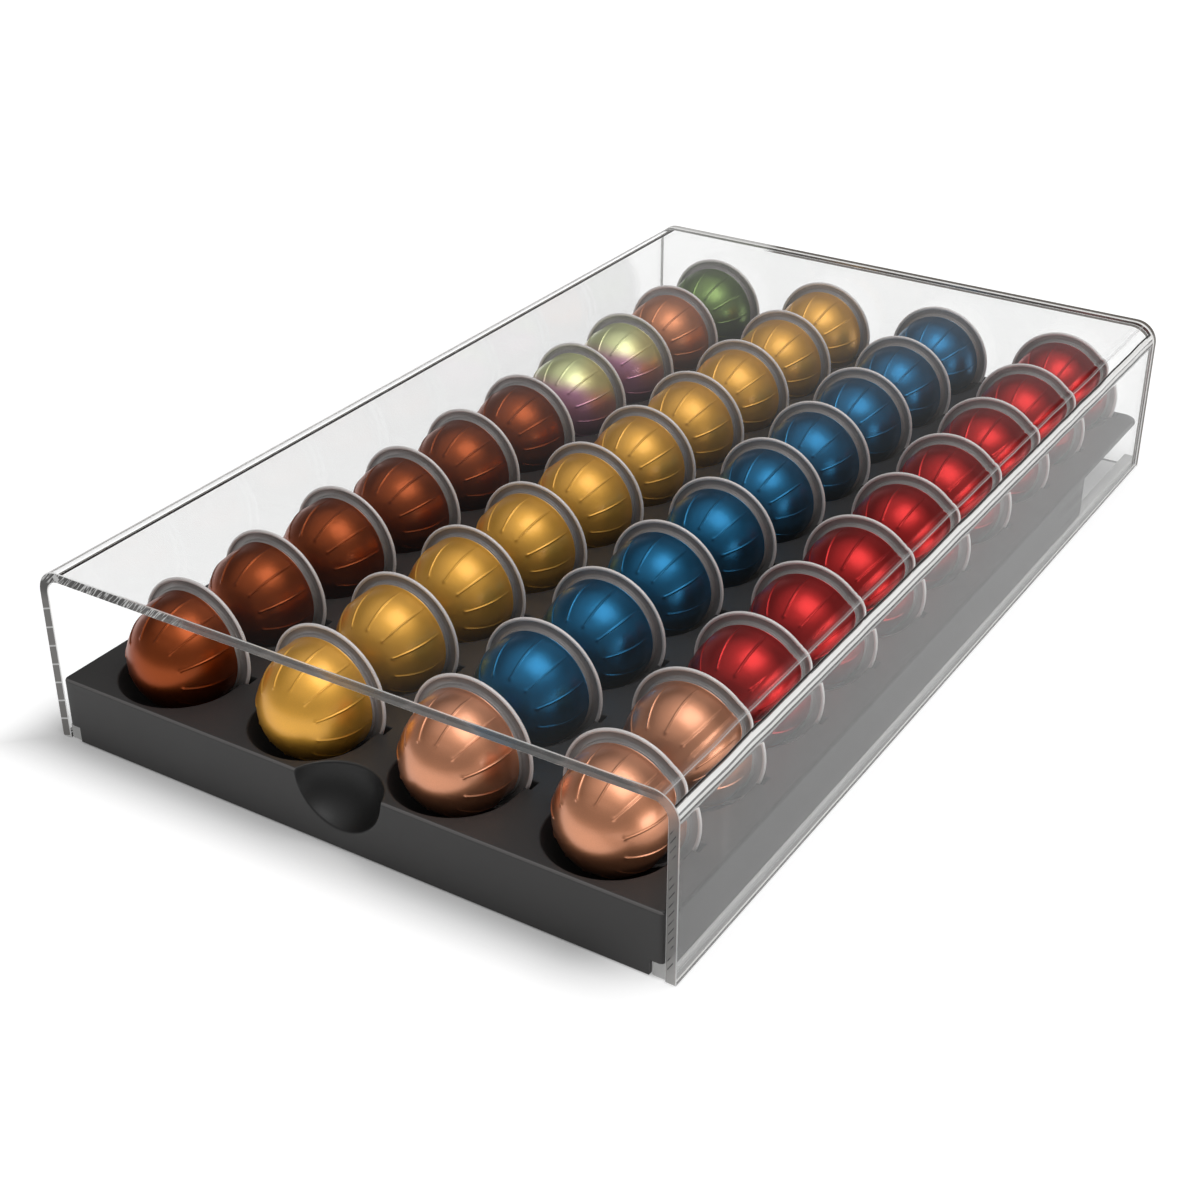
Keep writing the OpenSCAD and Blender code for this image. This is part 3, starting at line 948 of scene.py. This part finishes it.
def rear_profile(size, x, under, bottom, top):
    """The same on the inside: from the skirt's lower edge up to the plate's underside."""
    wall, out = size.wall, size.scoop_out
    scoop_wall = 1.2 * MM
    shell = (size.scoop_radius + scoop_wall) ** 2 - x * x
    meets = shell > (wall + out) ** 2 + (top - under) ** 2
    path = [(wall, bottom)]
    if meets:
        drop = math.sqrt(shell - (wall + out) ** 2)
        inner = math.sqrt(shell - (top - under) ** 2)
        path += arc((-out, top), math.sqrt(shell), math.atan2(-drop, wall + out),
                    math.atan2(under - top, inner), 16)
    else:
        path.append((wall, under))
    return even_points(path, 14, POINTS_PER_METRE, 4.0)


def tray_border(size, low, high):
    """Points round the tray, as (place, outward direction, x of the front or None, bottom)."""
    half = (high.x - low.x) / 2
    front, rear, floor = low.y, high.y, low.z
    under = high.z - size.wall
    tiny = 0.05 * MM
    corner, big = size.front_corner, size.rear_corner
    notch_x = half - size.notch
    _, edge = scoop_reach(size)
    inner = [edge * math.sin(math.pi / 2 * k / 22) for k in range(23)]
    beyond = [edge + step * MM for step in STEPS_PAST_SCOOP]
    plain = [beyond[-1] + (notch_x - beyond[-1]) * k / 8 for k in range(1, 9)]
    right = inner + beyond + plain
    front_x = [-x for x in reversed(right)] + right[1:]
    skirt = size.skirt_bottom
    points = [((-half + corner, front), (0, -1), -half + corner, skirt),
              ((-notch_x - tiny, front), (0, -1), -notch_x - tiny, skirt)]
    points += [((x, front), (0, -1), x, floor) for x in front_x]
    points += [((notch_x + tiny, front), (0, -1), notch_x + tiny, skirt),
               ((half - corner, front), (0, -1), half - corner, skirt)]

    def round_corner(middle, radius, start, steps, bottom):
        for k in range(1, steps + 1):
            angle = start + math.pi / 2 * k / steps
            way = (math.cos(angle), math.sin(angle))
            points.append(((middle[0] + radius * way[0], middle[1] + radius * way[1]),
                           way, None, bottom))

    round_corner((half - corner, front + corner), corner, -math.pi / 2, 6, skirt)
    cut = rear - size.skirt_cut
    side = [front + corner + (cut - front - corner) * k / 10 for k in range(1, 11)]
    points += [((half, y), (1, 0), None, skirt) for y in side]
    points += [((half, cut + tiny), (1, 0), None, under), ((half, rear - big), (1, 0), None, under)]
    round_corner((half - big, rear - big), big, 0.0, 10, under)
    points += [((half - big - (2 * half - 2 * big) * k / 8, rear), (0, 1), None, under)
               for k in range(1, 9)]
    round_corner((-half + big, rear - big), big, math.pi / 2, 10, under)
    points += [((-half, cut + tiny), (-1, 0), None, under)]
    points += [((-half, y), (-1, 0), None, skirt) for y in reversed(side)]
    points += [((-half, front + corner), (-1, 0), None, skirt)]
    round_corner((-half + corner, front + corner), corner, math.pi, 6, skirt)
    return points[:-1]


def pocket_ring(size, middle, axis_z, z, out, grow):
    """A pocket's outline at height z, widened by out: the rim slot behind, the cup in front."""
    cup = math.sqrt((size.cup_radius + grow) ** 2 - (axis_z - z) ** 2) + out
    slot_axis = axis_z + size.slot_rise
    wide = math.sqrt((size.slot_radius + grow) ** 2 - (slot_axis - z) ** 2) + out
    deep = size.slot_half + grow + out
    steps = 44
    local = [(wide, deep), (wide, -deep), (cup, -deep)]
    for k in range(steps + 1):
        angle = -math.pi * k / steps
        local.append((cup * math.cos(angle), -size.cup_straight + cup * math.sin(angle)))
    local += [(-cup, -deep), (-wide, -deep), (-wide, deep)]
    return [(middle[0] + x, middle[1] + y, z) for x, y in local]


def pocket_walls(builder, size, middle, axis_z, top, grow, lip):
    """Builds one pocket below the given face and returns the ring that lies in that face."""
    rings = []
    if lip:
        rings.append(pocket_ring(size, middle, axis_z, top, lip + 0.05 * MM, grow))
        for k in range(6):
            angle = math.pi / 2 * k / 5
            rings.append([(x, y, top - lip * (1 - math.cos(angle))) for x, y, _ in pocket_ring(
                size, middle, axis_z, top - lip * (1 - math.cos(angle)),
                lip * (1 - math.sin(angle)), grow)])
    else:
        rings.append(pocket_ring(size, middle, axis_z, top, 0.0, grow))
    reach = size.cup_radius + grow
    start = math.acos((axis_z - top + lip) / reach)
    end = math.radians(10.0)
    steps = 12
    for k in range(1, steps + 1):
        angle = start + (end - start) * k / steps
        rings.append(pocket_ring(size, middle, axis_z, axis_z - reach * math.cos(angle), 0.0, grow))
    made = [[builder.verts.new(point) for point in ring] for ring in rings]
    bridge(builder, made)
    last = made[-1]
    slot = [last[0], last[1], last[2], last[-3], last[-2], last[-1]]
    builder.faces.new(last[2:-2])
    slot_axis = axis_z + size.slot_rise
    deepest = size.slot_radius + grow
    for share in (0.45, 0.97):
        bottom = slot_axis - deepest
        z = last[0].co.z + (bottom - last[0].co.z) * share
        wide = math.sqrt(deepest ** 2 - (slot_axis - z) ** 2)
        narrow = min(abs(slot[2].co.x - middle[0]), 0.6 * wide)
        deep = size.slot_half + grow
        local = ((wide, deep), (wide, -deep), (narrow, -deep),
                 (-narrow, -deep), (-wide, -deep), (-wide, deep))
        below = [builder.verts.new((middle[0] + x, middle[1] + y, z)) for x, y in local]
        bridge(builder, [slot, below])
        slot = below
    builder.faces.new(slot)
    return made[0]


class POD_OT_tray(bpy.types.Operator):
    """Make the moulded tray with its pockets, rim slots, finger scoop and skirts"""
    bl_idname = "pod_drawer.tray"
    bl_label = "Tray"

    def execute(self, context):
        size = context.scene.pod_drawer_tray
        pod = context.scene.pod_drawer_pods
        top, under = TRAY_HIGH.z, TRAY_HIGH.z - size.wall
        builder = bmesh.new()
        far_aside = 1.0
        rows = []
        for place, way, front_x, bottom in tray_border(size, TRAY_LOW, TRAY_HIGH):
            x = far_aside if front_x is None else front_x
            outside = front_profile(size, x, top, bottom)
            inside = rear_profile(size, x, under, bottom, top)
            rows.append([(place[0] - way[0] * depth, place[1] - way[1] * depth, z)
                         for depth, z in outside + inside])
        rings = [[builder.verts.new(point) for point in ring] for ring in zip(*rows)]
        bridge(builder, rings)
        upper_edges, lower_edges = loop_edges(builder, rings[0]), loop_edges(builder, rings[-1])
        for node in POD_NODES:
            *middle, axis_z = pod_middle(node, pod.bead_radius)
            for edges, face_z, grow, lip in ((upper_edges, top, 0.0, size.lip),
                                             (lower_edges, under, size.pocket_wall, 0.0)):
                ring = pocket_walls(builder, size, middle, axis_z, face_z, grow, lip)
                edges += loop_edges(builder, ring)
        for edges, way in ((upper_edges, 1.0), (lower_edges, -1.0)):
            bmesh.ops.triangle_fill(builder, use_beauty=True, use_dissolve=False,
                                    edges=edges, normal=(0.0, 0.0, way))
        tray = finish_mesh(builder, "moulded_tray")
        ball = (0.0, TRAY_LOW.y - size.scoop_out, top)
        plastic = tray_plastic(context.scene.pod_drawer_colours.charcoal, ball, size.scoop_radius)
        place_piece(tray, [plastic], "tray")
        return {"FINISHED"}


# ---------------------------------------------------------------- cover, back and runners

SEAM_GAP = 0.04 * MM


def arched_path(half, height, radius, bottom, ease):
    """The outline of the bent sheet, from its left foot over both bends to its right foot."""
    support = 0.6 * MM
    left = [(-half + ease, bottom), (-half, bottom + abs(ease))]
    left += [(-half, height - radius - support)]
    left += arc((-half + radius, height - radius), radius, math.pi, math.pi / 2, 24)
    left += [(-half + radius + support, height)]
    return left + [(-x, z) for x, z in reversed(left)]


def sheet_path(size, half, height, inset, ease):
    """The whole section of the bent sheet: along its outer face and back along its inner one."""
    outer = arched_path(half - inset, height - inset, size.bend - inset, inset, ease)
    gone = size.sheet - inset
    inner = arched_path(half - gone, height - gone, size.bend - gone, inset, -ease)
    return outer + inner[::-1]


def close_section(builder, rings):
    """Faces across the sheet's thickness at both ends of an extruded section."""
    for ring in (rings[0], rings[-1]):
        count = len(ring) // 2
        bridge(builder, [ring[:count], ring[count:][::-1]], closed=False)


def sheet_rings(builder, path_at, start, end, ease):
    """Rings of an extruded outline with broken edges; path_at(inset) gives the outline."""
    stations = ((start, ease), (start + ease, 0.0), (end - ease, 0.0), (end, ease))
    return [[builder.verts.new((x, y, z)) for x, z in path_at(inset)] for y, inset in stations]


class POD_OT_cover(bpy.types.Operator):
    """Make the clear cover: one acrylic sheet bent along both long edges"""
    bl_idname = "pod_drawer.cover"
    bl_label = "Cover"

    def execute(self, context):
        size = context.scene.pod_drawer_cover
        half = (COVER_HIGH.x - COVER_LOW.x) / 2
        height = COVER_HIGH.z
        front, rear = COVER_LOW.y, COVER_HIGH.y - size.joint
        builder = bmesh.new()
        rings = sheet_rings(builder, lambda inset: sheet_path(size, half, height, inset, size.ease),
                            front, rear, size.ease)
        bridge(builder, rings)
        close_section(builder, rings)
        hair = 1e-6
        sheet_face, front_edge, arris, joint_face = range(4)
        for face in builder.faces:
            face.material_index = sheet_face
            ends = [vert.co.y for vert in face.verts]
            if max(ends) < front + hair:
                face.material_index = front_edge
            elif min(ends) > rear - hair:
                face.material_index = joint_face
            elif min(ends) < front + hair or min(ends) > rear - size.ease - hair:
                face.material_index = arris
        cover = finish_mesh(builder, "bent_cover", 30.0)
        bends = (half, height, size.bend, size.sheet, rear)
        # The joint face lies off the joint's white line, so its line is put out of the way
        place_piece(cover, [clear_acrylic("acrylic_sheet", bends=bends), cut_acrylic(size.sheet),
                            eased_acrylic(), sawn_acrylic("acrylic_joint", 0.0)], "cover")
        return {"FINISHED"}


class POD_OT_back_panel(bpy.types.Operator):
    """Make the clear back panel and the milky glue line in front of it"""
    bl_idname = "pod_drawer.back_panel"
    bl_label = "Back panel"

    def execute(self, context):
        size = context.scene.pod_drawer_cover
        half = (BACK_HIGH.x - BACK_LOW.x) / 2
        height = BACK_HIGH.z

        def path_at(inset):
            return arched_path(half - inset, height - inset, size.bend - inset, inset, size.ease)

        builder = bmesh.new()
        rings = sheet_rings(builder, path_at, BACK_LOW.y + SEAM_GAP, BACK_HIGH.y, size.ease)
        bridge(builder, rings)
        for face in builder.faces:
            face.material_index = int(max(vert.co.z for vert in face.verts) > 1.0 * MM)
        for ring in (rings[0], rings[-1]):
            builder.faces.new(ring)
        panel = finish_mesh(builder, "back_plate", 30.0)
        place_piece(panel, [clear_acrylic("acrylic_back"),
                            sawn_acrylic("acrylic_sawn_edge", BACK_LOW.y)], "back_panel")

        builder = bmesh.new()
        section = sheet_path(size, half, height, 0.5 * MM, 0.1 * MM)
        stations = (BACK_LOW.y - size.joint + SEAM_GAP, BACK_LOW.y)
        rings = [[builder.verts.new((x, y, z)) for x, z in section] for y in stations]
        bridge(builder, rings)
        close_section(builder, rings)
        glue = finish_mesh(builder, "glue_line", 30.0)
        place_piece(glue, [glue_milk(context.scene.pod_drawer_colours.glue)], "back_panel",
                    stands_in=False)
        return {"FINISHED"}


class POD_OT_runners(bpy.types.Operator):
    """Make the two clear runners glued low down inside the side walls"""
    bl_idname = "pod_drawer.runners"
    bl_label = "Runners"

    def execute(self, context):
        size = context.scene.pod_drawer_cover
        width = RUNNER_HIGH.x - RUNNER_LOW.x - SEAM_GAP
        height = RUNNER_HIGH.z
        middle = RUNNER_LOW.x + width / 2

        def path_at(side, inset):
            half = width / 2 - inset
            high = height - inset
            small = size.ease
            big = size.runner_ease - inset
            path = [(-half, inset + small)]
            path += arc((-half + big, high - big), big, math.pi, math.pi / 2, 6)
            path += [(half - small, high), (half, high - small), (half, inset + small),
                     (half - small, inset), (-half + small, inset)]
            return [(side * (middle + x), z) for x, z in path]

        for side, node in ((-1, "runner_left"), (1, "runner_right")):
            builder = bmesh.new()
            rings = sheet_rings(builder, lambda inset: path_at(side, inset),
                                RUNNER_LOW.y, RUNNER_HIGH.y - size.joint, size.ease)
            bridge(builder, rings)
            for ring in (rings[0], rings[-1]):
                builder.faces.new(ring)
            bar = finish_mesh(builder, node + "_bar", 30.0)
            place_piece(bar, [clear_acrylic("acrylic_" + node, size.runner_haze)], node)
        return {"FINISHED"}


# ---------------------------------------------------------------- camera and stage

class POD_OT_camera(bpy.types.Operator):
    """Place the camera at the right front corner, above the cover"""
    bl_idname = "pod_drawer.camera"
    bl_label = "Camera"

    def execute(self, context):
        stage = context.scene.pod_drawer_stage
        data = bpy.data.cameras.new("camera")
        data.sensor_width = 36.0
        data.lens = stage.lens
        data.clip_start, data.clip_end = 0.01, 50.0
        camera = bpy.data.objects.new("camera", data)
        context.scene.collection.objects.link(camera)
        camera.location = stage.eye
        way = Vector(stage.aim) - Vector(stage.eye)
        camera.rotation_mode = "QUATERNION"
        camera.rotation_quaternion = way.to_track_quat("-Z", "Y")
        context.scene.camera = camera
        return {"FINISHED"}


def softbox(name, place, aim, width, height, power):
    """A rectangular lamp that faces a point, with its sides in metres and its power in watts."""
    data = bpy.data.lights.new(name, "AREA")
    data.shape = "RECTANGLE"
    data.size, data.size_y = width, height
    data.energy = power
    lamp = bpy.data.objects.new(name, data)
    bpy.context.scene.collection.objects.link(lamp)
    lamp.location = place
    lamp.rotation_mode = "QUATERNION"
    lamp.rotation_quaternion = (Vector(aim) - Vector(place)).to_track_quat("-Z", "Y")


def around(azimuth, elevation, distance):
    """A point at that distance; azimuth 0 is behind the object and 90 to its right."""
    turn, rise = math.radians(azimuth), math.radians(elevation)
    return (distance * math.sin(turn) * math.cos(rise), distance * math.cos(turn) * math.cos(rise),
            distance * math.sin(rise))


def camera_rays(ray):
    """The rays that show a pale floor: the camera's own and those that metal and glass send."""
    return ray["Is Camera Ray"], ray["Is Glossy Ray"], ray["Is Transmission Ray"]


def floor_material(stage):
    """Matte white that glows a little by itself in sharp views. It glows less near the object and
    under it, a painted shadow, less beside it in reflections, painted shade, and a little more where
    it is seen through clear pieces, painted light. The distances are counted from the object's
    footprint."""
    made, graph = new_material("floor_white")
    high = CAD_BOUNDS[1]
    place = object_place(graph)
    x, y, _ = graph.split(place)
    past = graph.most(graph.minus(graph.absolute(x), high.x), graph.minus(graph.absolute(y), high.y))
    away = graph.add("ShaderNodeVectorMath", {0: place}, operation="LENGTH").outputs["Value"]
    open_floor = graph.add("ShaderNodeMapRange", {
        "Value": away, "From Min": 0.30, "From Max": 1.0,
        "To Min": stage.floor_glow, "To Max": stage.glow_far}, interpolation_type="SMOOTHSTEP")

    ray = graph.add("ShaderNodeLightPath").outputs
    # painted shade: less glow beside the right wall, in what that wall reflects
    beside = graph.times(graph.smooth_step(graph.minus(x, high.x), 0.0, 3.0 * MM),
                         graph.smooth_step(x, high.x + 250.0 * MM, high.x + 60.0 * MM))
    mirrored = graph.times(beside, graph.minus(1.0, ray["Is Camera Ray"]))
    aside = graph.add("ShaderNodeMix", {0: mirrored, 2: open_floor.outputs[0],
                                        3: stage.glow_aside}, data_type="FLOAT")
    # painted light: more glow where the floor is seen through clear pieces
    through = graph.times(ray["Is Transmission Ray"], graph.minus(1.0, mirrored))
    whiter = graph.scaled(through, stage.glow_through, aside.outputs[0])
    # painted shadow: less glow towards the object's foot
    shade = graph.times(graph.smooth_step(past, 34.0 * MM, 0.0),
                        graph.smooth_step(x, high.x, high.x - 50.0 * MM))
    shaded = graph.scaled(shade, -stage.shade, whiter)
    # painted shadow: less glow under the object
    under = graph.smooth_step(past, 1.0 * MM, -3.0 * MM)
    strength = graph.add("ShaderNodeMix", {0: under, 2: shaded, 3: stage.glow_under},
                         data_type="FLOAT")

    matte = graph.add("ShaderNodeBsdfDiffuse", {"Color": grey(stage.floor_white)})
    glow = graph.add("ShaderNodeEmission", {"Color": grey(1.0), "Strength": strength.outputs[0]})
    dark = graph.add("ShaderNodeEmission", {"Strength": 0.0})
    shown = graph.add("ShaderNodeMixShader", {0: graph.most(*camera_rays(ray)),
                                              1: dark.outputs[0], 2: glow.outputs[0]})
    graph.surface(graph.add("ShaderNodeAddShader", {0: matte.outputs[0], 1: shown.outputs[0]}))
    return made


def lay_floor(stage):
    """A square white floor just below the feet."""
    builder = bmesh.new()
    half = stage.floor_size / 2
    corners = [(-half, -half), (half, -half), (half, half), (-half, half)]
    builder.faces.new([builder.verts.new((x, y, -stage.floor_drop)) for x, y in corners])
    mesh = bpy.data.meshes.new("floor")
    builder.to_mesh(mesh)
    builder.free()
    mesh.materials.append(floor_material(stage))
    floor = bpy.data.objects.new("floor", mesh)
    bpy.context.scene.collection.objects.link(floor)


def set_surroundings(stage):
    """Plain surroundings: bright overhead, dim behind the object, paler on the right and in
    front of it, and white where the camera sees them itself."""
    world = bpy.data.worlds.new("surroundings")
    bpy.context.scene.world = world
    world.use_nodes = True
    world.node_tree.nodes.clear()
    graph = Graph(world.node_tree)
    way = graph.add("ShaderNodeTexCoord").outputs["Generated"]
    rise = graph.split(way)[2]
    right_and_front = (0.54, -0.84, 0.0)
    turn = graph.add("ShaderNodeVectorMath", {0: way, 1: right_and_front}, operation="DOT_PRODUCT")
    behind = graph.scaled(graph.smooth_step(rise, 0.48, 0.30), stage.sky_rear, stage.sky_low)
    aside = graph.smooth_step(turn.outputs["Value"], -0.45, 0.35)
    low = graph.mix_colour(aside, behind, grey(stage.sky_side))
    sky = graph.mix_colour(graph.smooth_step(rise, 0.45, 1.0), low, grey(stage.sky_high))
    plain = graph.add("ShaderNodeBackground", {"Color": sky})
    white = graph.add("ShaderNodeBackground", {"Color": grey(1.0)})
    ray = graph.add("ShaderNodeLightPath").outputs
    through = graph.times(ray["Is Transmission Ray"], graph.smooth_step(rise, 0.22, 0.14))
    both = graph.add("ShaderNodeMixShader", {0: graph.most(ray["Is Camera Ray"], through),
                                             1: plain.outputs[0], 2: white.outputs[0]})
    graph.add("ShaderNodeOutputWorld", {"Surface": both.outputs[0]})


class POD_OT_stage(bpy.types.Operator):
    """Lay the white floor, light it softly and set the plain surroundings"""
    bl_idname = "pod_drawer.stage"
    bl_label = "Stage"

    def execute(self, context):
        stage = context.scene.pod_drawer_stage
        lay_floor(stage)
        set_surroundings(stage)
        middle = (0.0, 0.0, 50.0 * MM)
        softbox("top_softbox", around(100, 74, 1.9), middle, width=1.2, height=1.2, power=11.5)
        softbox("side_softbox", around(95, 9, 1.6), middle, width=0.8, height=0.35, power=3.6)
        context.scene.view_settings.view_transform = "Standard"
        return {"FINISHED"}


class POD_PT_panel(bpy.types.Panel):
    """Lists the steps that build the drawer"""
    bl_idname = "POD_PT_panel"
    bl_label = "Pod Drawer"
    bl_space_type = "VIEW_3D"
    bl_region_type = "UI"
    bl_category = "Pod Drawer"

    def draw(self, context):
        for step in STEPS:
            self.layout.operator(step.bl_idname)
        for name in SETTINGS:
            group = getattr(context.scene, name)
            box = self.layout.box()
            for key in group.__annotations__:
                box.prop(group, key)


STEPS = (POD_OT_camera, POD_OT_stage, POD_OT_tray, POD_OT_pods, POD_OT_lids, POD_OT_cover,
         POD_OT_back_panel, POD_OT_runners)
SETTINGS = {
    "pod_drawer_pods": PodSizes,
    "pod_drawer_tray": TraySizes,
    "pod_drawer_cover": CoverSizes,
    "pod_drawer_colours": FinishColours,
    "pod_drawer_stage": StageSizes,
}


def register():
    for made in (*SETTINGS.values(), *STEPS, POD_PT_panel):
        bpy.utils.register_class(made)
    for name, group in SETTINGS.items():
        setattr(bpy.types.Scene, name, PointerProperty(type=group))


def unregister():
    for name in SETTINGS:
        delattr(bpy.types.Scene, name)
    for made in reversed((*SETTINGS.values(), *STEPS, POD_PT_panel)):
        bpy.utils.unregister_class(made)


def main():
    register()
    bpy.ops.pod_drawer.camera()
    bpy.ops.pod_drawer.stage()
    bpy.ops.pod_drawer.tray()
    bpy.ops.pod_drawer.pods()
    bpy.ops.pod_drawer.lids()
    bpy.ops.pod_drawer.cover()
    bpy.ops.pod_drawer.back_panel()
    bpy.ops.pod_drawer.runners()


if __name__ == "__main__":
    main()
